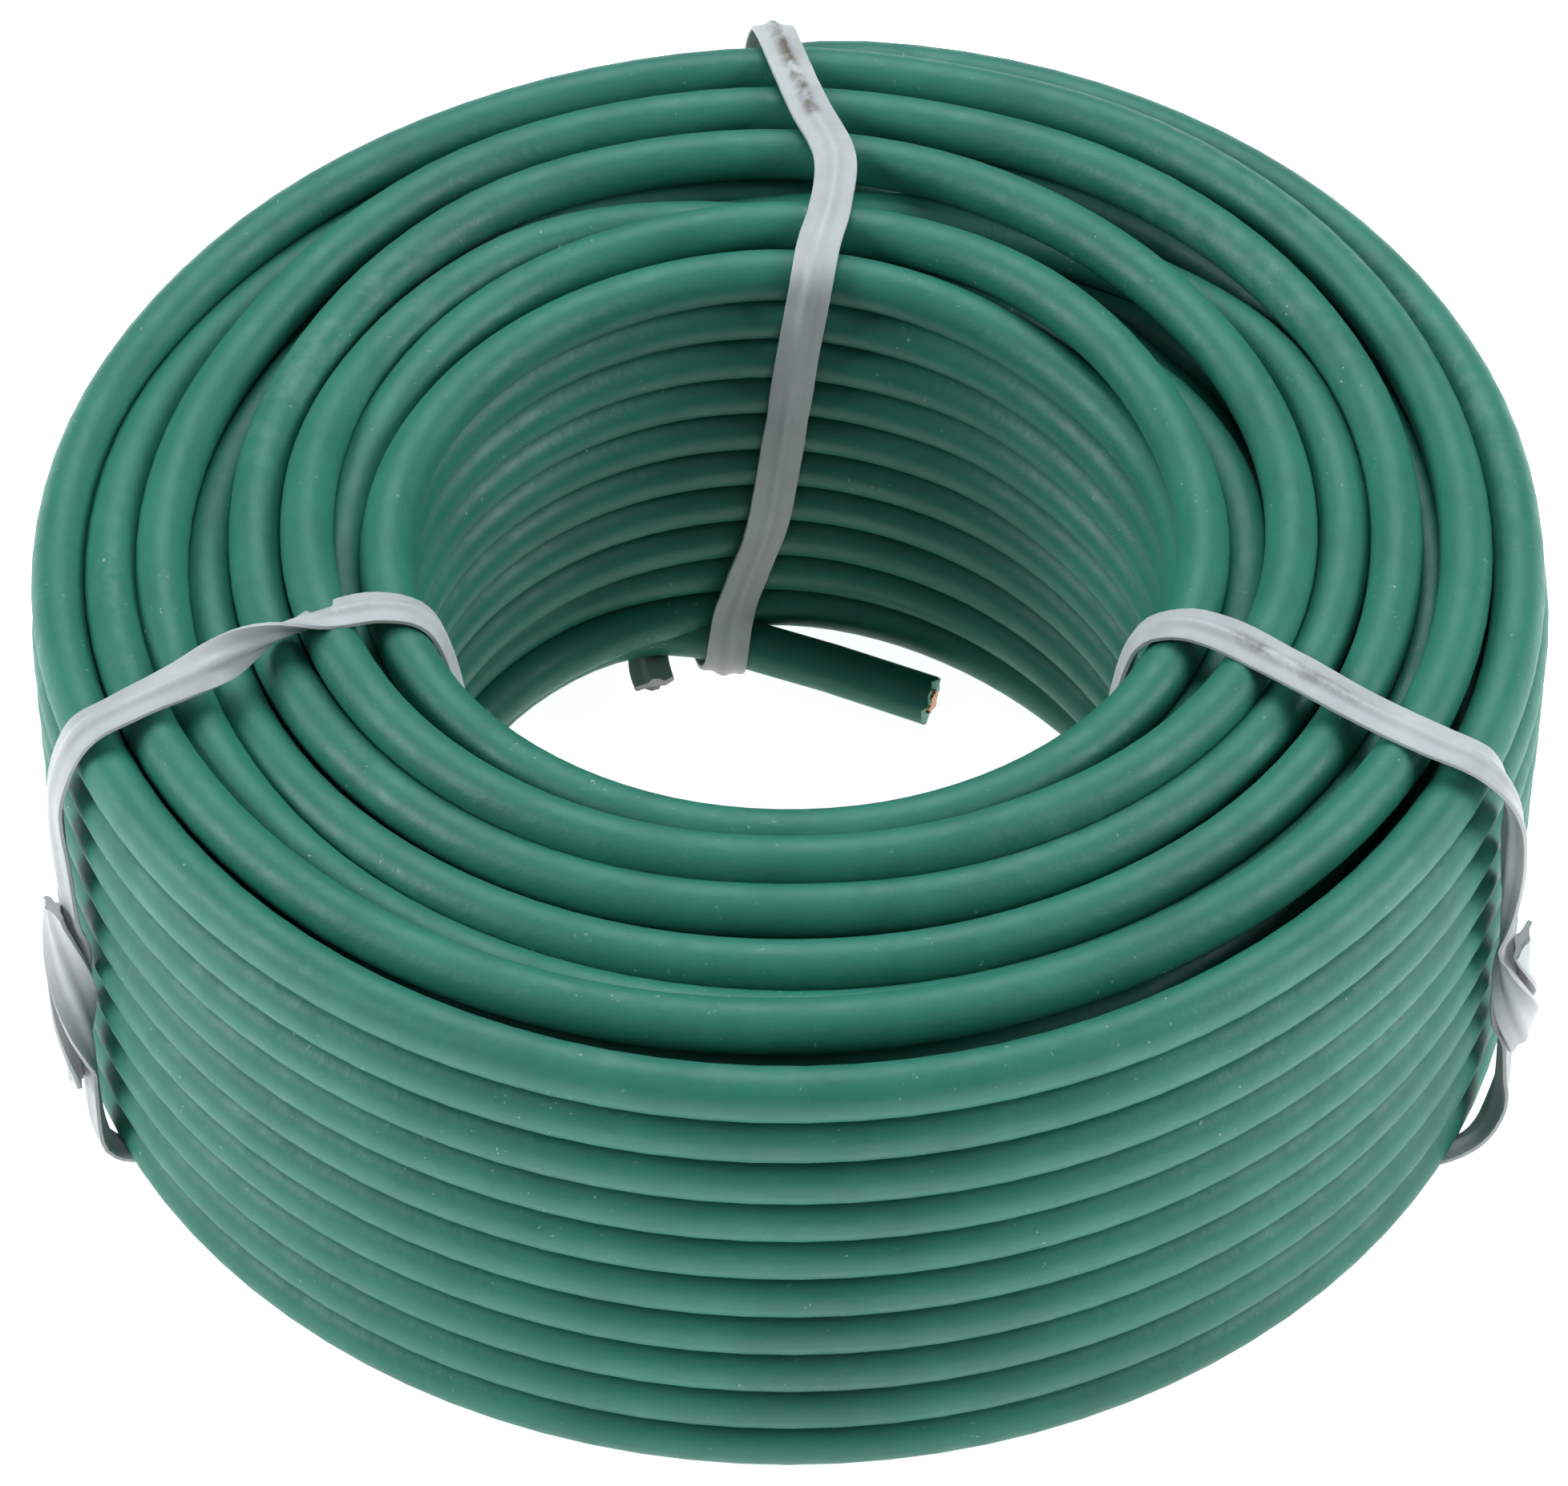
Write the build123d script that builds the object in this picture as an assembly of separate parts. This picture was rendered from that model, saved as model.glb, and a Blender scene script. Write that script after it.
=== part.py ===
from build123d import *
import math
import os

# A round, core-less coil of insulated single-conductor wire, level-wound in nested layers and held by three
# plastic-covered twist ties. One cut end of the wire crosses the foot of the centre hole. The other leaves
# the foot of the outer wall at a tangent, just short of the back tie. The left and right ties are twisted on
# the outer wall, and the back tie's ends are pressed flat under the coil. Frame: +Z is the coil's axis, Z = 0
# is the surface it lies on, and +Y points to the back tie.

# ---- driving dimensions, in millimetres and degrees
WIRE = 2.3                  # outside diameter of the insulation
STRAND = 0.22               # one bare copper strand
STRAND_PITCH = 0.235        # centre to centre of the strands in the bundle
STRAND_PROUD = 0.15         # how far the strands stand out of the cut insulation
STRAND_LENGTH = 4.0         # how deep the bundle is modelled
ROWS = 10                   # turns on top of each other on the outer wall
ROW_PITCH = 2.4
LAYERS = 8                  # turns side by side from the hole to the outer wall
LAYER_PITCH = 2.0
INNER_TURN_R = 17.5         # centre line of the innermost layer
RIM_ROUND = 1.1             # the outer shape's corners follow a turn of wire

TIE_WIDTH = 1.9
TIE_WING = 0.3              # thickness of the flat wings
TIE_RIDGE = 0.6             # thickness over the wire in the middle
TIE_CORE = 0.36             # steel wire inside
TIE_TWIST_GAP = 0.34        # from the middle of a twist to each of its two strips
TIE_STEP = 0.9              # spacing of the sections along a tie

UNDER_GROOVE_WIDTH = 3.4    # where the turns of wire ride up over a tie
UNDER_GROOVE_DEPTH = 1.05

# ---- sizes that follow
WIRE_R = WIRE / 2
COIL_HEIGHT = (ROWS - 1) * ROW_PITCH + WIRE
OUTER_TURN_R = INNER_TURN_R + (LAYERS - 1) * LAYER_PITCH
HOLE_R = INNER_TURN_R - WIRE_R
COIL_R = OUTER_TURN_R + WIRE_R
SECTION_MIDDLE = ((HOLE_R + COIL_R) / 2, COIL_HEIGHT / 2)
BUNDLE_BORE = 5 * STRAND_PITCH + 0.02

# ---- the two free ends of the wire: the tail in the hole lies over the back tie's foot, the other on the
# surface, and each route starts inside the coil
TAIL_ROUTE = [(-12.4, 13.6, 1.9), (-8.4, 15.9, 1.9), (-3.6, 16.45, 1.9), (6.6, 12.25, 1.2)]
END_ROUTE = [(16.5, 27.2, 1.15), (6.0, 33.6, 1.15)]

# ---- the ties: azimuth, radius, height and quarter turns of the strip, from the top of its twist over the
# coil, down the hole and back under the coil to the twist's foot, where foot and top are azimuth and height
LEFT_TIE = {
    "twist": {"foot": (-155.2, 5.0), "top": (-156.4, 14.4), "radius": 33.75, "turns": 0.5},
    "loop": [
        (-157.2, 33.45, 18.4, 0.0), (-156.8, 33.3, 21.8, 0.0), (-156.6, 32.2, 24.3, 0.0),
        (-157.2, 30.0, 24.75, 0.0), (-158.4, 26.8, 24.9, 0.2), (-160.4, 23.7, 25.0, 1.0),
        (-162.0, 20.8, 24.85, 1.8), (-162.0, 18.2, 24.7, 2.0), (-160.0, 16.3, 23.9, 2.0),
        (-156.5, 15.6, 21.5, 2.0), (-151.5, 15.6, 17.5, 2.0), (-148.0, 15.7, 12.0, 2.0),
        (-147.5, 15.7, 6.0, 2.0), (-147.8, 15.7, 2.0, 2.0), (-148.5, 16.3, 0.6, 2.0),
        (-149.3, 18.0, 0.36, 2.0), (-151.0, 25.0, 0.36, 2.0), (-152.4, 31.0, 0.42, 2.0),
        (-153.4, 32.9, 0.66, 2.0), (-154.4, 33.4, 2.0, 2.0),
    ],
}
RIGHT_TIE = {
    "twist": {"foot": (-20.8, 5.2), "top": (-23.2, 12.4), "radius": 33.8, "turns": 0.5},
    "loop": [
        (-24.0, 33.5, 15.2, 0.35), (-24.8, 33.6, 18.5, 0.5), (-25.9, 33.6, 22.0, 0.35),
        (-26.9, 32.5, 24.4, 0.1), (-26.8, 30.0, 24.75, 0.0), (-26.0, 26.8, 24.8, 0.0),
        (-24.0, 22.9, 24.9, 0.0), (-21.8, 19.6, 24.85, 0.0), (-21.6, 17.6, 24.6, 0.0),
        (-23.0, 16.1, 23.6, 0.0), (-26.0, 15.6, 21.0, 0.0), (-30.0, 15.6, 17.0, 0.0),
        (-32.0, 15.7, 12.0, 0.0), (-32.0, 15.7, 6.0, 0.0), (-31.4, 15.7, 2.0, 0.0),
        (-30.4, 16.3, 0.6, 0.0), (-29.6, 18.0, 0.36, 0.0), (-28.6, 25.0, 0.36, 0.0),
        (-28.0, 31.0, 0.42, 0.0), (-26.8, 32.8, 0.7, 0.0), (-24.6, 33.6, 1.2, 0.0), (-22.2, 33.7, 2.5, 0.0),
    ],
}
BACK_TIE = {
    "twist": None,
    "loop": [
        (114.0, 15.5, 0.6, 0.0), (113.3, 16.4, 0.48, 0.0), (112.2, 17.4, 0.42, 0.0), (110.0, 19.0, 0.4, 0.0),
        (104.0, 22.5, 0.38, 0.0), (97.5, 28.0, 0.37, 0.0), (94.0, 32.0, 0.42, 0.0), (93.2, 33.4, 0.9, 0.0),
        (92.9, 33.9, 2.2, 0.0), (92.7, 33.6, 7.0, 0.0), (92.4, 33.4, 15.0, 0.0), (92.1, 33.9, 20.2, 0.0),
        (91.8, 34.15, 22.3, 0.0), (91.4, 33.5, 23.9, 0.0), (91.0, 32.1, 24.7, 0.0), (89.9, 29.8, 24.8, 0.0),
        (87.9, 26.7, 24.8, 0.0),
        (84.9, 23.4, 24.85, 0.0), (84.7, 20.1, 24.8, 0.0), (85.7, 17.7, 24.6, 0.0), (86.6, 15.9, 23.4, 0.0),
        (88.6, 15.75, 19.5, 0.0), (91.0, 15.8, 14.0, 0.0), (93.6, 15.8, 9.0, 0.0), (97.0, 15.65, 6.0, 0.1),
        (99.4, 15.25, 4.3, 0.25), (100.6, 14.85, 2.9, 0.33), (101.3, 14.6, 1.9, 0.35),
        (101.7, 14.9, 0.95, 0.2), (102.0, 15.85, 0.42, 0.0), (102.4, 17.2, 0.38, 0.0),
        (102.8, 18.6, 0.36, 0.0),
    ],
}
TIES = {"tie_left": LEFT_TIE, "tie_right": RIGHT_TIE, "tie_back": BACK_TIE}

# ---- plan runs of the grooves under the coil, where it lies on its ties: azimuth and radius of both ends,
# then the groove's width and depth
UNDER_GROOVES = [
    ((-148.0, 15.0), (-153.6, 34.5), UNDER_GROOVE_WIDTH, UNDER_GROOVE_DEPTH),
    ((-31.4, 15.0), (-26.4, 34.5), UNDER_GROOVE_WIDTH, UNDER_GROOVE_DEPTH),
    ((114.5, 15.0), (109.4, 19.6), UNDER_GROOVE_WIDTH, UNDER_GROOVE_DEPTH),
    ((110.6, 18.2), (92.6, 35.0), UNDER_GROOVE_WIDTH, UNDER_GROOVE_DEPTH),
    ((101.8, 14.8), (103.2, 19.4), UNDER_GROOVE_WIDTH, UNDER_GROOVE_DEPTH),
]


def around(azimuth, radius, height=0.0):
    """A point given by its azimuth about the coil's axis."""
    a = math.radians(azimuth)
    return Vector(radius * math.cos(a), radius * math.sin(a), height)


# ---- the wire

def coil_body():
    """The outer shape of the wound turns: a ring with rounded rims."""
    with BuildPart() as ring:
        with BuildSketch(Plane.XZ):
            with Locations((SECTION_MIDDLE[0], SECTION_MIDDLE[1])):
                RectangleRounded(COIL_R - HOLE_R, COIL_HEIGHT, RIM_ROUND)
        revolve(axis=Axis.Z)
    body = ring.part
    for start, end, width, depth in UNDER_GROOVES:
        body -= under_groove(around(*start), around(*end), width, depth)
    for tube in (tail_solid(), end_solid()):
        body -= tube
    return body


def under_groove(start, end, width, depth):
    """A straight trough in the underside, from one plan point to another."""
    run = end - start
    middle = (start + end) * 0.5
    trough = Box(run.length, width, 2 * depth)
    return Pos(middle.X, middle.Y, 0) * Rot(0, 0, math.degrees(math.atan2(run.Y, run.X))) * trough


def bend_radii(route):
    """At each corner, the largest arc that leaves a straight stretch on both of its runs."""
    radii = []
    for a, b, c in zip(route, route[1:], route[2:]):
        first, second = Vector(*b) - Vector(*a), Vector(*c) - Vector(*b)
        turn = math.radians(first.get_angle(second))
        radii.append(0.45 * min(first.length, second.length) / math.tan(turn / 2))
    return radii


def tail_path():
    return FilletPolyline(*TAIL_ROUTE, radius=bend_radii(TAIL_ROUTE))


def tail_solid():
    """The free end in the hole: tangent to the innermost layer, then straight across."""
    path = tail_path()
    return sweep(path.location_at(0) * Circle(WIRE_R), path=path)


def end_solid():
    """The other free end, which leaves the outer wall at a tangent."""
    path = Line(*END_ROUTE)
    return sweep(path.location_at(0) * Circle(WIRE_R), path=path)


def free_end_frame(route):
    """The plane of a free end's cut face, facing out of the wire."""
    last, before = Vector(*route[-1]), Vector(*route[-2])
    return Plane(origin=last, z_dir=(last - before).normalized())


def strand_places():
    """Centres of the bundle's strands: one, six around it and twelve around those."""
    places = [(0.0, 0.0)]
    for ring in (1, 2):
        for corner in range(6):
            a0, a1 = math.radians(60 * corner), math.radians(60 * corner + 60)
            for step in range(ring):
                share = step / ring
                x = ring * STRAND_PITCH * ((1 - share) * math.cos(a0) + share * math.cos(a1))
                y = ring * STRAND_PITCH * ((1 - share) * math.sin(a0) + share * math.sin(a1))
                places.append((x, y))
    return places


def bundle_bore(route):
    """The space that the strands fill in the last stretch of insulation."""
    face = free_end_frame(route)
    return face * Pos(0, 0, -STRAND_LENGTH / 2) * Cylinder(BUNDLE_BORE / 2, STRAND_LENGTH)


def strands(route):
    face = free_end_frame(route)
    length = STRAND_LENGTH + STRAND_PROUD
    middle = (STRAND_PROUD - STRAND_LENGTH) / 2
    return Compound(children=[face * Pos(x, y, middle) * Cylinder(STRAND / 2, length)
                              for x, y in strand_places()])


# ---- the ties

def curve_through(points, step):
    """Evenly spaced places on a smooth curve through four-number points (a Catmull-Rom spline)."""
    places = []
    ends = [points[0]] + list(points) + [points[-1]]
    for a, b, c, d in zip(ends, ends[1:], ends[2:], ends[3:]):
        count = max(1, round((around(*b[:3]) - around(*c[:3])).length / step))
        for k in range(count):
            t = k / count
            places.append(tuple(
                0.5 * (2 * q + (r - p) * t + (2 * p - 5 * q + 4 * r - s) * t * t
                       + (3 * q - p - 3 * r + s) * t ** 3)
                for p, q, r, s in zip(a, b, c, d)))
    places.append(points[-1])
    return places


def twist_points(twist, side, count=9):
    """One of the two strips of a twist, from its foot up: azimuth, radius, height and quarter turns."""
    points = []
    (foot_azimuth, foot_height), (top_azimuth, top_height) = twist["foot"], twist["top"]
    for k in range(count):
        share = k / (count - 1)
        turn = 2 * math.pi * twist["turns"] * (1 - share)
        out = side * TIE_TWIST_GAP * math.cos(turn)
        along = side * TIE_TWIST_GAP * math.sin(turn)
        azimuth = foot_azimuth + share * (top_azimuth - foot_azimuth) + math.degrees(along / twist["radius"])
        height = foot_height + share * (top_height - foot_height)
        points.append((azimuth, twist["radius"] + out, height, 4.0 * twist["turns"] * (1 - share)))
    return points


def tie_route(tie):
    """The whole strip, from one cut end to the other."""
    if not tie["twist"]:
        return tie["loop"]
    turned = tie["loop"][-1][3] - 4.0 * tie["twist"]["turns"]
    over = twist_points(tie["twist"], -1)
    under = [(a, r, z, q + turned) for a, r, z, q in twist_points(tie["twist"], 1)]
    return over + tie["loop"] + under


def tie_frames(tie, extra=0.0):
    """Section planes along a tie: x across the strip, y out of its face."""
    route = curve_through(tie_route(tie), TIE_STEP)
    places = [around(*p[:3]) for p in route]
    frames = []
    for k, place in enumerate(places):
        ahead = places[min(k + 1, len(places) - 1)] - places[max(k - 1, 0)]
        tangent = ahead.normalized()
        outward = place - around(route[k][0], *SECTION_MIDDLE)
        outward = (outward - tangent * outward.dot(tangent)).normalized()
        across = outward.cross(tangent)
        turn = math.radians(90 * route[k][3])
        side = across * math.cos(turn) + outward * math.sin(turn)
        frames.append(Plane(origin=place, x_dir=side, z_dir=tangent))
    frames[0] = frames[0].offset(-extra)
    frames[-1] = frames[-1].offset(extra)
    return frames


def strip_outline():
    """Half-turn symmetric section: two flat wings beside the ridge over the core."""
    wing, ridge, half = TIE_WING / 2, TIE_RIDGE / 2, TIE_WIDTH / 2
    right = [(half, -wing), (half, wing), (0.42, wing), (0.22, ridge)]
    return right + [(-x, y) for x, y in reversed(right[2:])] + [(-half, wing), (-half, -wing)] + \
        [(-0.42, -wing), (-0.22, -ridge), (0.22, -ridge), (0.42, -wing)]


def core_outline(sides=8):
    turns = [2 * math.pi * k / sides for k in range(sides)]
    return [(TIE_CORE / 2 * math.cos(t), TIE_CORE / 2 * math.sin(t)) for t in turns]


def along_tie(tie, outline, extra=0.0):
    """A straight-sided section carried along a tie."""
    sections = [Wire.make_polygon([frame.from_local_coords(Vector(x, y, 0)) for x, y in outline], close=True)
                for frame in tie_frames(tie, extra)]
    return Solid.make_loft(sections, ruled=True)


def save(shape, node):
    export_step(shape, os.path.join("parts", node + ".step"))
    print(f"{node:18s} {shape.volume:10.2f} mm3")


def main():
    os.makedirs("parts", exist_ok=True)
    tail, end = tail_solid(), end_solid()
    save(coil_body(), "wire_coil")
    save(tail - bundle_bore(TAIL_ROUTE), "wire_tail")
    save(strands(TAIL_ROUTE), "tail_strands")
    save(end - bundle_bore(END_ROUTE), "wire_end")
    save(strands(END_ROUTE), "end_strands")
    for node, tie in TIES.items():
        core = along_tie(tie, core_outline(), extra=0.2)
        save(along_tie(tie, strip_outline()) - core, node)
        save(core, node + "_core")

    section = math.pi * WIRE_R ** 2
    runs = ", ".join(f"{math.dist(a, b):.2f}" for a, b in zip(TAIL_ROUTE, TAIL_ROUTE[1:]))
    radii = ", ".join(f"{radius:.2f}" for radius in bend_radii(TAIL_ROUTE))
    print(f"tail runs {runs} mm, bend radii {radii} mm")
    print(f"tail volume {tail.volume:.2f} mm3, section by length {section * tail_path().length:.2f} mm3")
    print(f"end volume {end.volume:.2f} mm3, section by length {section * math.dist(*END_ROUTE):.2f} mm3")


main()
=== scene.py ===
import math

import bpy
import numpy as np
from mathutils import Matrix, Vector, noise


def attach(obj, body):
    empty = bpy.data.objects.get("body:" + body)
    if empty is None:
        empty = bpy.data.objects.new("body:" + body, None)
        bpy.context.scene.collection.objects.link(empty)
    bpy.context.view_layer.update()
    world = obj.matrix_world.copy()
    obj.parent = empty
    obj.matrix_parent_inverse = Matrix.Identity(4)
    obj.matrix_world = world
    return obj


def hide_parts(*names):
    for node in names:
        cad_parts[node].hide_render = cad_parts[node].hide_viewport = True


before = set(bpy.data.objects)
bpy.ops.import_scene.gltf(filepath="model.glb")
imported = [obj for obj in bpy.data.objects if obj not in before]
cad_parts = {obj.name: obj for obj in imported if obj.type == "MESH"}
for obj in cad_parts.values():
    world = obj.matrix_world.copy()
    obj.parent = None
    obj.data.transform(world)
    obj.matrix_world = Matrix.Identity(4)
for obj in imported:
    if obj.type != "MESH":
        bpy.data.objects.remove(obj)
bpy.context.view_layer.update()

# A coil of green insulated wire on a pale surface: one wire of 78 turns in eight nested layers, its two cut
# ends with their copper strands, and three plastic twist ties. Metres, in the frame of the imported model.

MM = 0.001
WIRE = 2.3 * MM                 # the insulation's diameter
WIRE_R = WIRE / 2
WIRE_SIDES = 18
BORE_R = 0.62 * MM              # the copper's space in the insulation
BORE_DEPTH = 1.5 * MM

# ---- the winding, in wire diameters
STATIONS = 24                   # points per turn
STEP = 360 / STATIONS           # degrees from one to the next
SHRINK = 0.99146                # what a quadratic spline with that many points loses in radius
LAYERS = 8
INNER_TURN, OUTER_TURN = 7.6, 13.7
BOTTOM_ROW, TOP_ROW = 0.5, 9.9
ROWS_INNER, ROWS_EVEN, ROWS_ODD = 11, 10, 9
JOG_MIDDLE, JOG_HALF = 60, 30   # every turn steps to the next row or layer at this azimuth
FIRST_AZIMUTH = 120             # where the tail joins the innermost layer
LAST_AZIMUTH = 75
NEAREST = 0.985                 # turns whose middles are closer than this are pushed apart

# how the turns settle against each other
ROUNDS = 420
LATE_ROUND = 0.8 * ROUNDS       # from here on the wire straightens less
EARLY_STIFFNESS, LATE_STIFFNESS = 0.15, 0.05
PULL_INSIDE = 0.01              # how strongly a hidden turn is drawn to its own place
PULL_WALLS = (0.11, 0.06)       # the same on the innermost and the outermost layer: radius, height
PULL_SEEN = 0.04                # the same for the top turns that show
PUSHES, PUSH = 3, 0.35          # how often and how far overlapping turns move apart in a round
SLIDE_BACK = 0.3                # how far a seen turn returns to its line of sight in a round

# the turns that others hide have fewer sections: this far inside both walls and under the top row
HIDDEN_IN, HIDDEN_OUT, HIDDEN_BELOW = 0.55, 0.45, 1.1
HIDDEN_EVERY = 4

# The top turns that show: layer, which turn of it, then places of azimuth in that turn (its last jog is at
# 60), radius as seen at the top row's height, and height above the top row
TOP_TURNS = [
    (8, 0, [(-270, 13.83, 0.25), (-240, 13.6, 0.1), (-210, 13.55, 0), (-180, 13.62, 0), (-90, 13.7, 0),
            (0, 13.6, 0), (20, 13.75, 0), (40, 13.95, -0.1), (60, 14.1, -0.2), (90, 14.15, -0.3)]),
    (7, -1, [(-200, 12.65, 0), (-180, 12.65, 0), (-150, 12.5, 0), (-120, 12.3, 0), (-90, 12.07, 0),
             (-60, 12.05, 0), (0, 12.65, 0), (20, 12.9, 0), (40, 13.35, 0.15), (60, 13.7, 0.25)]),
    (6, 0, [(-270, 12.6, 0), (-240, 12.5, 0), (-210, 11.76, 0), (-180, 11.72, -0.05), (-150, 11.7, -0.3)]),
    (5, -1, [(-180, 10.87, 0), (-150, 10.97, 0), (-120, 10.8, 0), (-90, 10.67, 0), (-60, 10.8, 0),
             (-20, 11.2, 0), (0, 11.37, 0), (20, 11.7, 0), (40, 12.1, 0.1), (60, 12.4, 0.2)]),
    (4, 0, [(-270, 11.3, 0), (-240, 11.3, 0), (-210, 10.5, 0), (-180, 9.96, 0), (-150, 9.73, 0),
            (-90, 9.18, 0), (-40, 9.7, 0), (0, 10.4, 0), (20, 10.7, 0), (40, 10.9, -0.1)]),
    (3, -1, [(-240, 9.9, -0.1), (-210, 9.4, 0), (-180, 8.96, 0), (-150, 8.65, 0), (-120, 8.45, 0.1),
             (-90, 8.25, 0.2), (-60, 8.4, 0.1), (-40, 8.8, 0), (-20, 9.15, 0), (0, 9.4, 0), (20, 9.7, 0),
             (40, 10.1, 0.1), (60, 10.6, 0.1), (80, 11.2, 0)]),
    (2, 0, [(-270, 9.14, 0), (-240, 8.9, 0), (-210, 8.5, -0.1), (-180, 8.3, -0.4)]),
    (1, -1, [(-270, 7.7, 0), (-240, 7.6, 0), (-210, 7.55, 0), (-180, 7.53, 0), (-150, 7.6, 0),
             (-90, 7.49, 0), (-60, 7.55, 0), (0, 7.77, 0), (20, 7.85, 0), (40, 8.3, 0.1), (60, 8.8, 0.1),
             (80, 9.05, 0)]),
]
# where the wire joins its free ends: radius and height of the first and of the last stations of the winding
FIRST_PLACES = [(7.80, 0.83), (7.74, 0.78), (7.62, 0.66)]
LAST_PLACES = [(13.75, 0.5), (13.85, 0.5), (14.48, 0.5)]

# ---- the free ends, in millimetres: the tail from its cut to the coil, the end from the coil to its cut
TAIL_ROUTE = [(6.6, 12.25, 1.2), (-3.6, 16.45, 1.9), (-8.4, 15.9, 1.9)]
END_ROUTE = [(16.5, 27.2, 1.15), (6.0, 33.6, 1.15)]

# ---- the cut faces
CUT_EDGE_R = 0.96 * WIRE_R      # the edge between the cut face and the wire's side
CUT_UNEVEN = 0.22               # how far the cut face waves in and out, in millimetres
CUT_SHRED = 0.5                 # how much farther where it tore, on top
PINCH = 0.10                    # how much wider and flatter the tail is at its cut
PINCH_REACH = 1.6 * MM
TAIL_RINGS = 18                 # the first rings of the wire, the only ones that can be pinched

# ---- the ties, in millimetres. A loop's points are azimuth, radius, height and quarter turns of the strip.
# A twist's two strips run from its foot to its top, both azimuth and height, around a line at its radius.
TIES = {
    "tie_left": {
        "twist": {"foot": (-155.2, 5.0), "top": (-156.4, 14.4), "radius": 33.75, "turns": 0.5},
        "loop": [
            (-157.2, 33.45, 18.4, 0), (-156.8, 33.3, 21.8, 0), (-156.6, 32.2, 24.3, 0),
            (-157.2, 30.0, 24.75, 0), (-158.4, 26.8, 24.9, 0.2), (-160.4, 23.7, 25.0, 1),
            (-162.0, 20.8, 24.85, 1.8), (-162.0, 18.2, 24.7, 2), (-160.0, 16.3, 23.9, 2),
            (-156.5, 15.6, 21.5, 2), (-151.5, 15.6, 17.5, 2), (-148.0, 15.7, 12.0, 2),
            (-147.5, 15.7, 6.0, 2), (-147.8, 15.7, 2.0, 2), (-148.5, 16.3, 0.6, 2), (-149.3, 18.0, 0.36, 2),
            (-151.0, 25.0, 0.36, 2), (-152.4, 31.0, 0.42, 2), (-153.4, 32.9, 0.66, 2),
            (-154.4, 33.4, 2.0, 2),
        ],
    },
    "tie_right": {
        "twist": {"foot": (-20.8, 5.2), "top": (-23.2, 12.4), "radius": 33.8, "turns": 0.5},
        "loop": [
            (-24.0, 33.5, 15.2, 0.35), (-24.8, 33.6, 18.5, 0.5), (-25.9, 33.6, 22.0, 0.35),
            (-26.9, 32.5, 24.4, 0.1), (-26.8, 30.0, 24.75, 0), (-26.0, 26.8, 24.8, 0),
            (-24.0, 22.9, 24.9, 0), (-21.8, 19.6, 24.85, 0), (-21.6, 17.6, 24.6, 0), (-23.0, 16.1, 23.6, 0),
            (-26.0, 15.6, 21.0, 0), (-30.0, 15.6, 17.0, 0), (-32.0, 15.7, 12.0, 0), (-32.0, 15.7, 6.0, 0),
            (-31.4, 15.7, 2.0, 0), (-30.4, 16.3, 0.6, 0), (-29.6, 18.0, 0.36, 0), (-28.6, 25.0, 0.36, 0),
            (-28.0, 31.0, 0.42, 0), (-26.8, 32.8, 0.7, 0), (-24.6, 33.6, 1.2, 0), (-22.2, 33.7, 2.5, 0),
        ],
    },
    "tie_back": {
        "twist": None,
        "loop": [
            (114.0, 15.5, 0.6, 0), (113.3, 16.4, 0.48, 0), (112.2, 17.4, 0.42, 0), (110.0, 19.0, 0.4, 0),
            (104.0, 22.5, 0.38, 0), (97.5, 28.0, 0.37, 0), (94.0, 32.0, 0.42, 0), (93.2, 33.4, 0.9, 0),
            (92.9, 33.9, 2.2, 0), (92.7, 33.6, 7.0, 0), (92.4, 33.4, 15.0, 0), (92.1, 33.9, 20.2, 0),
            (91.8, 34.15, 22.3, 0), (91.4, 33.5, 23.9, 0), (91.0, 32.1, 24.7, 0), (89.9, 29.8, 24.8, 0),
            (87.9, 26.7, 24.8, 0), (84.9, 23.4, 24.85, 0), (84.7, 20.1, 24.8, 0), (85.7, 17.7, 24.6, 0),
            (86.6, 15.9, 23.4, 0), (88.6, 15.75, 19.5, 0), (91.0, 15.8, 14.0, 0), (93.6, 15.8, 9.0, 0),
            (97.0, 15.65, 6.0, 0.1), (99.4, 15.25, 4.3, 0.25), (100.6, 14.85, 2.9, 0.33),
            (101.3, 14.6, 1.9, 0.35), (101.7, 14.9, 0.95, 0.2), (102.0, 15.85, 0.42, 0),
            (102.4, 17.2, 0.38, 0), (102.8, 18.6, 0.36, 0),
        ],
    },
}
TIE_TWIST_GAP = 0.34            # from the middle of a twist to the middle of either strip
TWIST_POINTS = 9
TIE_STEP = 0.45                 # from one section of a strip to the next
SECTION_MIDDLE = (24.5, 12.0)   # radius and height of the middle of the coil's section
TIE_HALF_WIDTH = 0.95
TIE_WING = 0.13                 # half the thickness of the flat sides
TIE_RIDGE = 0.34                # half the thickness over the core
RIDGE_HALF_WIDTH = 0.3
RIDGE_FOOT = 0.5                # where the ridge rises from the flat side
RIDGE_ANGLES = (0.5, 1.0, 0.5 * math.pi, math.pi - 1.0, math.pi - 0.5)
TORN = 0.36                     # how far a torn end reaches past the last section
# how a strip's width wavers and its sides curl along it: how much, and how quickly that changes
LONG_WAVER, SHORT_WAVER = (0.035, 0.6), (0.015, 2.3)
CURL, CURL_RATE = 0.06, 0.35
TIE_TOP = 22                    # a strip above this height lies on top of the coil
TIE_DIRT_HALF_WIDTH = 0.33
# brown handling marks on the ridge: nearest and farthest radius on top of the coil, and strength
TIE_DIRT = {"tie_left": (18.6, 21.5, 0.55), "tie_right": (20.0, 27.0, 0.7), "tie_back": (26.0, 34.0, 1.0)}

SMUDGES_ABOVE = 0.85 * TOP_ROW  # only the upper turns carry pale marks
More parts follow.
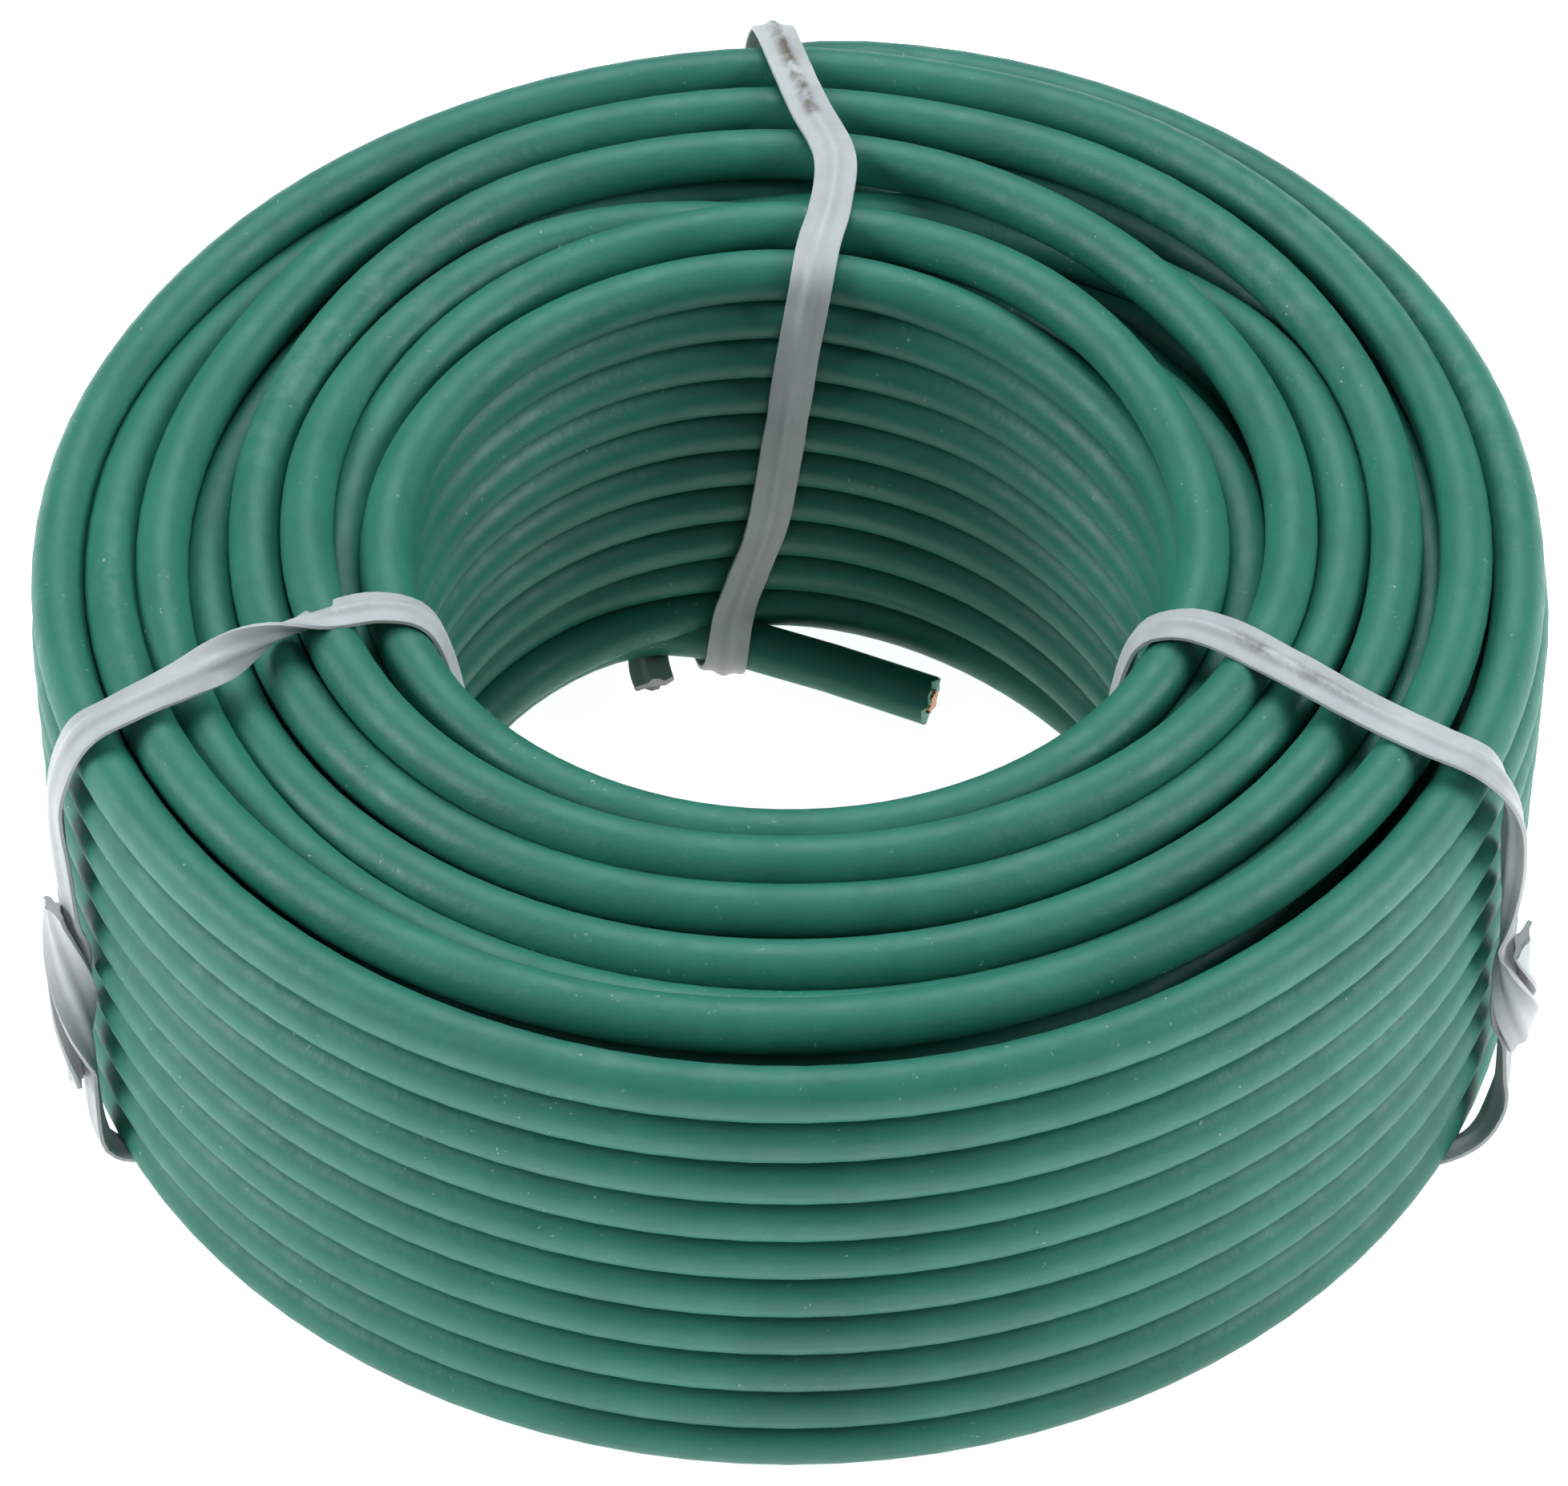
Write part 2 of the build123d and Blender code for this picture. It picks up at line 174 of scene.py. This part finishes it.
# Pale marks on the wire: azimuth, radius in wire diameters, half their extent of each, and strength
SMUDGES = [
    (147, 10.3, 23, 0.5, 0.5), (134, 9.2, 10, 0.4, 0.4), (30, 13.5, 26, 0.35, 0.6), (42, 11.6, 20, 0.4, 0.4),
    (53, 12.6, 2, 0.3, 1.0), (-100, 13.6, 14, 0.3, 0.35), (-60, 9.4, 12, 0.4, 0.35),
    (190, 12.6, 16, 0.3, 0.3),
]

# ---- the view
CAMERA_PLACE = Vector((0.0, -0.22384, 0.23803))
CAMERA_AIM = Vector((-0.0002, 0.0, 0.01084))
CAMERA_LENS = 165.64
LIGHT_AIM = Vector((0, 0, 0.01))

SHARP_ANGLE = math.radians(50)  # edges sharper than this aren't smoothed
# the sockets of a Mix node that mixes colours
MIX_FACTOR, MIX_FIRST, MIX_SECOND, MIX_RESULT = 0, 6, 7, 2


# ---------------------------------------------------------------- small helpers

def around(azimuth, radius, height):
    a = math.radians(azimuth)
    return Vector((radius * math.cos(a), radius * math.sin(a), height))


def new_piece(name, verts, faces, material):
    """A smooth-shaded mesh that belongs to the object."""
    mesh = bpy.data.meshes.new(name)
    mesh.from_pydata([tuple(v) for v in verts], [], faces)
    mesh.polygons.foreach_set("use_smooth", [True] * len(mesh.polygons))
    mesh.update()
    mesh.set_sharp_from_angle(angle=SHARP_ANGLE)
    piece = bpy.data.objects.new(name, mesh)
    bpy.context.scene.collection.objects.link(piece)
    mesh.materials.append(material)
    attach(piece, "root")
    return piece


def fill_attribute(piece, name, values):
    piece.data.attributes.new(name, "FLOAT", "POINT").data.foreach_set("value", values)


def ring_faces(rings, sides):
    """Quads between consecutive closed rings of vertices."""
    faces = []
    for k in range(rings - 1):
        for s in range(sides):
            t = (s + 1) % sides
            faces.append((k * sides + s, k * sides + t, (k + 1) * sides + t, (k + 1) * sides + s))
    return faces


class Nodes:
    """A material's node tree, with its principled shader at hand."""

    def __init__(self, name):
        self.material = bpy.data.materials.new(name)
        self.material.use_nodes = True
        self.tree = self.material.node_tree
        self.shader = self.tree.nodes["Principled BSDF"]

    def add(self, kind, **settings):
        node = self.tree.nodes.new("ShaderNode" + kind)
        for key, value in settings.items():
            if hasattr(node, key):
                setattr(node, key, value)
            else:
                node.inputs[key].default_value = value
        return node

    def link(self, source, target):
        self.tree.links.new(source, target)

    def give(self, name, value):
        """Set one input of the shader to a value or to another node's output."""
        if isinstance(value, bpy.types.NodeSocket):
            self.link(value, self.shader.inputs[name])
        else:
            self.shader.inputs[name].default_value = value

    def place(self):
        return self.add("TexCoord").outputs["Object"]

    def attribute(self, name):
        return self.add("Attribute", attribute_name=name).outputs["Fac"]

    def noise(self, vector, scale, detail=3.0, roughness=0.55):
        node = self.add("TexNoise", Scale=scale, Detail=detail, Roughness=roughness)
        self.link(vector, node.inputs["Vector"])
        return node.outputs["Fac"]

    def ramp(self, value, *stops):
        node = self.add("ValToRGB")
        for element, (position, colour) in zip(node.color_ramp.elements, stops):
            element.position = position
            element.color = (*colour, 1.0)
        self.link(value, node.inputs["Fac"])
        return node.outputs["Color"]

    def mask(self, value, low, high):
        """Nothing up to the low value, and everything from the high one."""
        return self.ramp(value, (low, (0, 0, 0)), (high, (1, 1, 1)))

    def between(self, value, low, high):
        """A level that follows a noise from the low one to the high one."""
        return self.ramp(value, (0.3, (low,) * 3), (0.7, (high,) * 3))

    def times(self, a, b):
        """The product of an output with another output or with a number."""
        node = self.add("Math", operation="MULTIPLY")
        self.link(a, node.inputs[0])
        if isinstance(b, float):
            node.inputs[1].default_value = b
        else:
            self.link(b, node.inputs[1])
        return node.outputs["Value"]

    def mix(self, factor, colour, tint):
        """The colour with a fixed tint over it, as much as the factor says."""
        node = self.add("Mix", data_type="RGBA")
        self.link(factor, node.inputs[MIX_FACTOR])
        self.link(colour, node.inputs[MIX_FIRST])
        node.inputs[MIX_SECOND].default_value = (*tint, 1.0)
        return node.outputs[MIX_RESULT]

    def bump(self, height, strength, distance=0.0002):
        node = self.add("Bump", Strength=strength, Distance=distance)
        self.link(height, node.inputs["Height"])
        self.give("Normal", node.outputs["Normal"])


# ---------------------------------------------------------------- camera, lights and surface

def make_view():
    """The camera that was fitted to the photograph."""
    data = bpy.data.cameras.new("camera")
    data.lens = CAMERA_LENS
    data.sensor_width = 36.0
    data.clip_start = 0.01
    data.clip_end = 10.0
    camera = bpy.data.objects.new("camera", data)
    camera.location = CAMERA_PLACE
    camera.rotation_euler = (CAMERA_AIM - CAMERA_PLACE).to_track_quat("-Z", "Y").to_euler()
    bpy.context.scene.collection.objects.link(camera)
    bpy.context.scene.camera = camera


def area_light(name, place, size, power, colour):
    data = bpy.data.lights.new(name, "AREA")
    data.shape = "DISK"
    data.size = size
    data.energy = power
    data.color = colour
    lamp = bpy.data.objects.new(name, data)
    lamp.location = place
    lamp.rotation_euler = (LIGHT_AIM - Vector(place)).to_track_quat("-Z", "Y").to_euler()
    bpy.context.scene.collection.objects.link(lamp)


def make_light():
    """A pale studio: soft daylight from all around, a wide light behind the coil and one on each side."""
    world = bpy.data.worlds.new("studio")
    world.use_nodes = True
    background = world.node_tree.nodes["Background"]
    background.inputs["Color"].default_value = (0.82, 0.94, 1.0, 1.0)
    background.inputs["Strength"].default_value = 0.30
    bpy.context.scene.world = world
    bpy.context.scene.view_settings.view_transform = "Standard"
    area_light("back_softbox", (0.0, 0.32, 0.55), 0.5, 2.9, (0.82, 0.95, 1.0))
    area_light("left_softbox", (-0.5, -0.05, 0.30), 0.3, 2.7, (0.86, 0.96, 1.0))
    area_light("right_softbox", (0.5, -0.05, 0.30), 0.3, 2.5, (0.86, 0.96, 1.0))


def make_floor():
    """A pale table top, bright enough to read as white."""
    look = Nodes("surface")
    look.give("Base Color", (0.9, 0.9, 0.9, 1.0))
    look.give("Roughness", 0.8)
    look.give("Emission Color", (1.0, 1.0, 1.0, 1.0))
    look.give("Emission Strength", 0.92)
    size = 3.0
    corners = [(-size, -size, 0), (size, -size, 0), (size, size, 0), (-size, size, 0)]
    mesh = bpy.data.meshes.new("floor")
    mesh.from_pydata(corners, [], [(0, 1, 2, 3)])
    floor = bpy.data.objects.new("floor", mesh)
    bpy.context.scene.collection.objects.link(floor)
    mesh.materials.append(look.material)


# ---------------------------------------------------------------- materials

def insulation_material():
    """Green vinyl: satin, faintly mottled and streaked, with pale scuffs and dust."""
    look = Nodes("green_vinyl")
    place = look.place()
    mottle = look.noise(place, 260.0, 4.0)
    colour = look.ramp(mottle, (0.3, (0.012, 0.122, 0.080)), (0.7, (0.018, 0.150, 0.100)))
    grime = look.mask(look.noise(place, 95.0, 5.0, 0.6), 0.52, 0.78)
    colour = look.mix(look.times(grime, 0.45), colour, (0.022, 0.075, 0.052))
    specks = look.mask(look.noise(place, 3200.0, 2.0), 0.70, 0.75)
    patches = look.mask(look.noise(place, 150.0, 2.0), 0.50, 0.66)
    dust = look.times(look.times(specks, patches), 0.6)
    colour = look.mix(dust, colour, (0.42, 0.44, 0.38))
    broken = look.mask(look.noise(place, 900.0, 4.0, 0.6), 0.46, 0.62)
    worn = look.times(look.attribute("smudge"), look.times(broken, 0.45))
    look.give("Base Color", look.mix(worn, colour, (0.20, 0.28, 0.23)))
    look.give("Roughness", look.between(look.noise(place, 700.0), 0.44, 0.58))
    look.give("Specular IOR Level", 0.42)
    look.bump(look.noise(place, 1800.0), 0.16)
    return look.material


def cut_material():
    """The pale, slightly torn face where the insulation was cut."""
    look = Nodes("green_vinyl_cut")
    grain = look.noise(look.place(), 2600.0, 4.0)
    look.give("Base Color", look.ramp(grain, (0.35, (0.16, 0.42, 0.33)), (0.7, (0.36, 0.62, 0.52))))
    look.give("Roughness", look.between(grain, 0.55, 0.7))
    look.bump(grain, 0.4)
    return look.material


def copper_material():
    """Bare copper, a little uneven in colour."""
    look = Nodes("bare_copper")
    place = look.place()
    tint = look.noise(place, 2500.0, 2.0)
    look.give("Base Color", look.ramp(tint, (0.35, (0.62, 0.27, 0.12)), (0.7, (0.86, 0.50, 0.30))))
    look.give("Metallic", 1.0)
    look.give("Roughness", look.between(look.noise(place, 4000.0, 2.0), 0.3, 0.45))
    return look.material


def tie_material():
    """Milky plastic ribbon with brown handling marks along the ridge."""
    look = Nodes("milky_plastic")
    place = look.place()
    haze = look.noise(place, 420.0)
    colour = look.ramp(haze, (0.3, (0.37, 0.36, 0.36)), (0.7, (0.46, 0.445, 0.44)))
    blotch = look.mask(look.noise(place, 900.0, 5.0, 0.65), 0.42, 0.62)
    dirt = look.times(look.attribute("dirt"), blotch)
    look.give("Base Color", look.mix(dirt, colour, (0.095, 0.062, 0.038)))
    look.give("Roughness", look.between(haze, 0.42, 0.56))
    look.give("Specular IOR Level", 0.4)
    look.give("Subsurface Weight", 0.35)
    look.give("Subsurface Radius", (0.001, 0.001, 0.001))
    look.bump(look.noise(place, 1100.0), 0.12)
    return look.material


def steel_material():
    """The ties' grey wire."""
    look = Nodes("tie_steel")
    grain = look.noise(look.place(), 3000.0, 2.0)
    look.give("Base Color", look.between(grain, 0.30, 0.48))
    look.give("Roughness", look.between(grain, 0.3, 0.5))
    look.give("Metallic", 1.0)
    return look.material


# ---------------------------------------------------------------- the winding

def row_table():
    """Every turn's layer, radius and height, in winding order: odd layers rise and even layers come down.

    The odd layers after the first lie half a row higher, between the turns of their neighbours."""
    layer_pitch = (OUTER_TURN - INNER_TURN) / (LAYERS - 1)
    row_pitch = (TOP_ROW - BOTTOM_ROW) / (ROWS_EVEN - 1)
    turns = []
    for layer in range(1, LAYERS + 1):
        radius = INNER_TURN + (layer - 1) * layer_pitch
        if layer == 1:
            heights = np.linspace(BOTTOM_ROW, TOP_ROW, ROWS_INNER)
        elif layer % 2 == 0:
            heights = TOP_ROW - row_pitch * np.arange(ROWS_EVEN)
        else:
            heights = BOTTOM_ROW + row_pitch * (np.arange(ROWS_ODD) + 0.5)
        turns += [(layer, radius, height) for height in heights]
    return turns


def lay_out(turns, azimuths):
    """Radius and height at each station before the turns settle, with the jogs blended."""
    places = np.array([turn[1:] for turn in turns])
    boundary = np.round((azimuths - JOG_MIDDLE) / 360).astype(int)
    share = np.clip((azimuths - JOG_MIDDLE - 360 * boundary + JOG_HALF) / (2 * JOG_HALF), 0, 1)
    share = (share * share * (3 - 2 * share))[:, None]
    last = len(turns) - 1
    return (1 - share) * places[np.clip(boundary - 1, 0, last)] + share * places[np.clip(boundary, 0, last)]


def seen_places(turns, azimuths):
    """The stations of the top turns that show: index, seen radius and height."""
    layers = [turn[0] for turn in turns]
    found = []
    for layer, which, places in TOP_TURNS:
        turn = [k for k, value in enumerate(layers) if value == layer][which]
        angle, radius, rise = np.array(places, dtype=float).T
        local = azimuths - 360 * (turn + 1)
        inside = np.flatnonzero((local >= angle[0]) & (local <= angle[-1]))
        found += [(i, np.interp(local[i], angle, radius), TOP_ROW + np.interp(local[i], angle, rise))
                  for i in inside]
    return found


def settle():
    """Push overlapping turns apart, round by round, while each is drawn to its own place."""
    turns = row_table()
    azimuths = np.arange(FIRST_AZIMUTH, 360 * len(turns) + LAST_AZIMUTH + 1, STEP)
    count = len(azimuths)
    target = lay_out(turns, azimuths)
    turn_of = np.clip((azimuths - JOG_MIDDLE) // 360, 0, len(turns) - 1).astype(int)
    layer = np.array([turn[0] for turn in turns])[turn_of]
    pull = np.full((count, 2), PULL_INSIDE)
    pull[layer == 1] = PULL_WALLS
    pull[layer == LAYERS] = PULL_WALLS

    # a turn seen from the camera may only slide along the line of sight
    outward = np.stack([np.cos(np.radians(azimuths)), np.sin(np.radians(azimuths))], axis=1)
    eye = np.array(CAMERA_PLACE) / WIRE
    slope = ((outward * target[:, :1] - eye[:2]) * outward).sum(axis=1) / (eye[2] - TOP_ROW)
    seen = np.full(count, np.nan)
    for i, radius, height in seen_places(turns, azimuths):
        seen[i] = radius + slope[i] * TOP_ROW
        target[i] = (seen[i] - slope[i] * height, height)
        pull[i] = PULL_SEEN
    held = np.isfinite(seen)

    fixed = np.r_[0:len(FIRST_PLACES), count - len(LAST_PLACES):count]
    target[fixed] = FIRST_PLACES + LAST_PLACES

    # one column of turns for each station of the circle; its empty places lie far away from all turns
    rows = -(-count // STATIONS)
    column = np.full((STATIONS, rows), -1)
    column[np.arange(count) % STATIONS, np.arange(count) // STATIONS] = np.arange(count)
    filled = column >= 0
    far = 1000.0 + 50.0 * np.arange(rows)[None, :, None]

    place = target.copy()
    for step in range(ROUNDS):
        bend = np.zeros_like(place)
        bend[1:-1] = place[:-2] + place[2:] - 2 * place[1:-1]
        place += (EARLY_STIFFNESS if step < LATE_ROUND else LATE_STIFFNESS) * bend
        place += pull * (target - place)
        for _ in range(PUSHES):
            stack = np.where(filled[..., None], place[column], far)
            apart = stack[:, :, None, :] - stack[:, None, :, :]
            distance = np.sqrt((apart ** 2).sum(axis=-1)) + 1e-9
            overlap = np.clip(NEAREST - distance, 0, None)
            overlap[:, np.arange(rows), np.arange(rows)] = 0
            move = PUSH * (overlap[..., None] / distance[..., None] * apart).sum(axis=2)
            place[column[filled]] += move[filled]
        off = (seen - slope * place[:, 1] - place[:, 0]) / (1 + slope ** 2)
        off = np.where(held, off, 0) * SLIDE_BACK
        place[:, 0] += off
        place[:, 1] += off * slope
        place[:, 1] = np.maximum(place[:, 1], BOTTOM_ROW)
        place[fixed] = target[fixed]
    return azimuths, place


def wire_spline(azimuths, place):
    """The whole wire as one smooth curve: tail, all turns, and the outer end.

    The routes of the free ends stand in for the winding's first station and its last two."""
    coil = [around(a, r * WIRE / SHRINK, z * WIRE) for a, (r, z) in zip(azimuths[1:-2], place[1:-2])]
    route = [Vector(p) * MM for p in TAIL_ROUTE] + coil + [Vector(p) * MM for p in END_ROUTE]
    data = bpy.data.curves.new("wire_line", "CURVE")
    data.dimensions = "3D"
    data.resolution_u = 4
    spline = data.splines.new("NURBS")
    spline.points.add(len(route) - 1)
    for point, where in zip(spline.points, route):
        point.co = (*where, 1.0)
    spline.order_u = 3
    spline.use_endpoint_u = True
    line = bpy.data.objects.new("wire_line", data)
    mesh = bpy.data.meshes.new_from_object(line)
    points = [v.co.copy() for v in mesh.vertices]
    bpy.data.meshes.remove(mesh)
    bpy.data.objects.remove(line)
    bpy.data.curves.remove(data)
    return points


def thin_out(points):
    """Fewer sections where other turns hide the wire."""
    kept = []
    for k, p in enumerate(points):
        radius, height = math.hypot(p.x, p.y) / WIRE, p.z / WIRE
        between_walls = INNER_TURN + HIDDEN_IN < radius < OUTER_TURN - HIDDEN_OUT
        hidden = between_walls and height < TOP_ROW - HIDDEN_BELOW
        if not hidden or k % HIDDEN_EVERY == 0:
            kept.append(p)
    return kept


def wire_stations(path):
    """Centre, direction and radius of every ring, with a bore for the copper at both cuts."""
    first, last = (path[1] - path[0]).normalized(), (path[-1] - path[-2]).normalized()
    stations = [(path[0] + first * BORE_DEPTH, first, BORE_R), (path[0], first, BORE_R),
                (path[0], first, CUT_EDGE_R)]
    for k, p in enumerate(path):
        ahead = (path[min(k + 1, len(path) - 1)] - path[max(k - 1, 0)]).normalized()
        stations.append((p, ahead, WIRE_R))
    stations += [(path[-1], last, CUT_EDGE_R), (path[-1], last, BORE_R),
                 (path[-1] - last * BORE_DEPTH, last, BORE_R)]
    return stations


def wire_rings(stations):
    """Vertices around every station; the cut faces are uneven, and the tail is pinched at its cut."""
    verts = []
    count = len(stations)
    cut_rings = (1, 2, 3, count - 4, count - 3, count - 2)
    for k, (centre, ahead, radius) in enumerate(stations):
        side = ahead.cross(Vector((0, 0, 1))).normalized()
        up = side.cross(ahead)
        out = -ahead if k < TAIL_RINGS else ahead
        pinch = 0.0
        if radius > BORE_R and k < TAIL_RINGS:
            from_cut = (centre - stations[3][0]).length
            pinch = PINCH * math.exp(-(from_cut / PINCH_REACH) ** 2)
        for s in range(WIRE_SIDES):
            t = 2 * math.pi * s / WIRE_SIDES
            place = centre + radius * (side * math.cos(t) * (1 + pinch) + up * math.sin(t) * (1 - pinch))
            if k in cut_rings:
                torn = CUT_UNEVEN + CUT_SHRED * max(0.0, math.sin(t - 0.4)) ** 6
                place += out * torn * MM * noise.noise(Vector((4 * math.cos(t), 4 * math.sin(t), 0.7)))
            verts.append(place)
    return verts


def smudge_values(verts):
    """How much of a pale mark each vertex carries."""
    azimuth = np.degrees(np.arctan2(verts[:, 1], verts[:, 0]))
    radius = np.hypot(verts[:, 0], verts[:, 1]) / WIRE
    values = np.zeros(len(verts))
    for at, around_radius, half_azimuth, half_radius, strength in SMUDGES:
        off = (azimuth - at + 180) % 360 - 180
        spot = np.exp(-(off / half_azimuth) ** 2 - ((radius - around_radius) / half_radius) ** 2)
        values = np.maximum(values, strength * spot)
    return np.where(verts[:, 2] > SMUDGES_ABOVE * WIRE, values, 0.0)


def make_wire(material, cut):
    """The whole wire as one tube, closed at the bottom of the bore that holds the copper at each end."""
    points = wire_spline(*settle())
    path = thin_out(points)
    stations = wire_stations(path)
    verts = wire_rings(stations)
    faces = ring_faces(len(stations), WIRE_SIDES)
    faces.append(tuple(reversed(range(WIRE_SIDES))))
    faces.append(tuple(range(len(verts) - WIRE_SIDES, len(verts))))
    wire = new_piece("wire", verts, faces, material)
    wire.data.materials.append(cut)
    # the bore's wall and the cut face at the tail, then the same at the outer end
    for band in (0, 1, len(stations) - 3, len(stations) - 2):
        for face in range(band * WIRE_SIDES, (band + 1) * WIRE_SIDES):
            wire.data.polygons[face].material_index = 1
    fill_attribute(wire, "smudge", smudge_values(np.array([tuple(v) for v in verts])))
    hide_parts("wire_coil", "wire_tail", "wire_end")


# ---------------------------------------------------------------- the ties

def curve_through(points, step):
    """A smooth curve through points of azimuth, radius, height and quarter turns (Catmull-Rom)."""
    places = []
    ends = [points[0]] + list(points) + [points[-1]]
    for a, b, c, d in zip(ends, ends[1:], ends[2:], ends[3:]):
        count = max(1, round((around(*b[:3]) - around(*c[:3])).length / step))
        for k in range(count):
            t = k / count
            places.append(tuple(
                0.5 * (2 * q + (r - p) * t + (2 * p - 5 * q + 4 * r - s) * t * t
                       + (3 * q - p - 3 * r + s) * t ** 3)
                for p, q, r, s in zip(a, b, c, d)))
    places.append(points[-1])
    return places


def twist_points(twist, side):
    """One of a twist's two strips, from its foot up: at the top, side -1 lies inside and side 1 outside."""
    points = []
    (foot_azimuth, foot_height), (top_azimuth, top_height) = twist["foot"], twist["top"]
    for k in range(TWIST_POINTS):
        share = k / (TWIST_POINTS - 1)
        turn = 2 * math.pi * twist["turns"] * (1 - share)
        out = side * TIE_TWIST_GAP * math.cos(turn)
        along = side * TIE_TWIST_GAP * math.sin(turn)
        azimuth = foot_azimuth + share * (top_azimuth - foot_azimuth) + math.degrees(along / twist["radius"])
        height = foot_height + share * (top_height - foot_height)
        points.append((azimuth, twist["radius"] + out, height, 4.0 * twist["turns"] * (1 - share)))
    return points


def tie_route(tie):
    """The whole strip, from one torn end to the other: up the twist, around the coil, up the twist again."""
    twist, loop = tie["twist"], tie["loop"]
    if not twist:
        return loop
    turned = loop[-1][3] - 4.0 * twist["turns"]
    rising = [(a, r, z, quarters + turned) for a, r, z, quarters in twist_points(twist, 1)]
    return twist_points(twist, -1) + loop + rising


def tie_frames(tie):
    """Along a tie: each section's middle, then its directions across the strip and out of the face."""
    route = curve_through(tie_route(tie), TIE_STEP)
    places = [around(*p[:3]) for p in route]
    frames = []
    for k, place in enumerate(places):
        tangent = (places[min(k + 1, len(places) - 1)] - places[max(k - 1, 0)]).normalized()
        outward = place - around(route[k][0], *SECTION_MIDDLE)
        outward = (outward - tangent * outward.dot(tangent)).normalized()
        across = outward.cross(tangent)
        turn = math.radians(90 * route[k][3])
        side = across * math.cos(turn) + outward * math.sin(turn)
        frames.append((place, side, tangent.cross(side)))
    return frames


def strip_outline():
    """A strip's section: thin sides and a round ridge over the core, the same on both faces."""
    wing = [(TIE_HALF_WIDTH, 0.6 * TIE_WING), (0.9 * TIE_HALF_WIDTH, TIE_WING), (RIDGE_FOOT, TIE_WING)]
    ridge = [(RIDGE_HALF_WIDTH * math.cos(t), TIE_RIDGE * (0.35 + 0.65 * math.sin(t)))
             for t in RIDGE_ANGLES]
    top = wing + ridge + [(-x, y) for x, y in reversed(wing)]
    return top + [(-x, -y) for x, y in top]


def waver(place, amount, rate):
    return amount * noise.noise(place * rate)


def section_points(outline, section, end):
    """One section of a ribbon in metres; end is -1 or 1 at its first and last section, which are torn."""
    place, side, face = section
    width = 1 + waver(place, *LONG_WAVER) + waver(place, *SHORT_WAVER)
    points = []
    for x, y in outline:
        curl = CURL * abs(x) * noise.noise(place * CURL_RATE + Vector((0, 0, 9)))
        point = place + side * x * width + face * (y + curl)
        if end:
            torn = TORN * (0.85 + 0.6 * noise.noise(Vector((4.1 * x, 0.7, 0.3))))
            point += end * torn * side.cross(face)
        points.append(point * MM)
    return points


def make_tie(name, tie, material):
    """A ribbon, torn at both ends, with brown marks where it crosses the top of the coil."""
    outline = strip_outline()
    sides = len(outline)
    near, far, strength = TIE_DIRT[name]
    verts, dirt = [], []
    frames = tie_frames(tie)
    for k, section in enumerate(frames):
        end = {0: -1, len(frames) - 1: 1}.get(k, 0)
        verts += section_points(outline, section, end)
        place = section[0]
        on_top = place.z > TIE_TOP
        marked = strength if on_top and near < math.hypot(place.x, place.y) < far else 0.0
        dirt += [marked * math.exp(-(x / TIE_DIRT_HALF_WIDTH) ** 2) for x, _ in outline]
    faces = ring_faces(len(frames), sides)
    faces.append(tuple(reversed(range(sides))))
    faces.append(tuple(range(len(verts) - sides, len(verts))))
    piece = new_piece(name + "_ribbon", verts, faces, material)
    fill_attribute(piece, "dirt", dirt)
    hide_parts(name)


# ---------------------------------------------------------------- put together

make_view()
make_light()
make_floor()
insulation = insulation_material()
copper = copper_material()
milky = tie_material()
steel = steel_material()
make_wire(insulation, cut_material())
for name, tie in TIES.items():
    make_tie(name, tie, milky)
for node in ("tie_left_core", "tie_right_core", "tie_back_core"):
    bpy.data.objects[node].material_slots[0].material = steel
for node in ("tail_strands", "end_strands"):
    bpy.data.objects[node].material_slots[0].material = copper
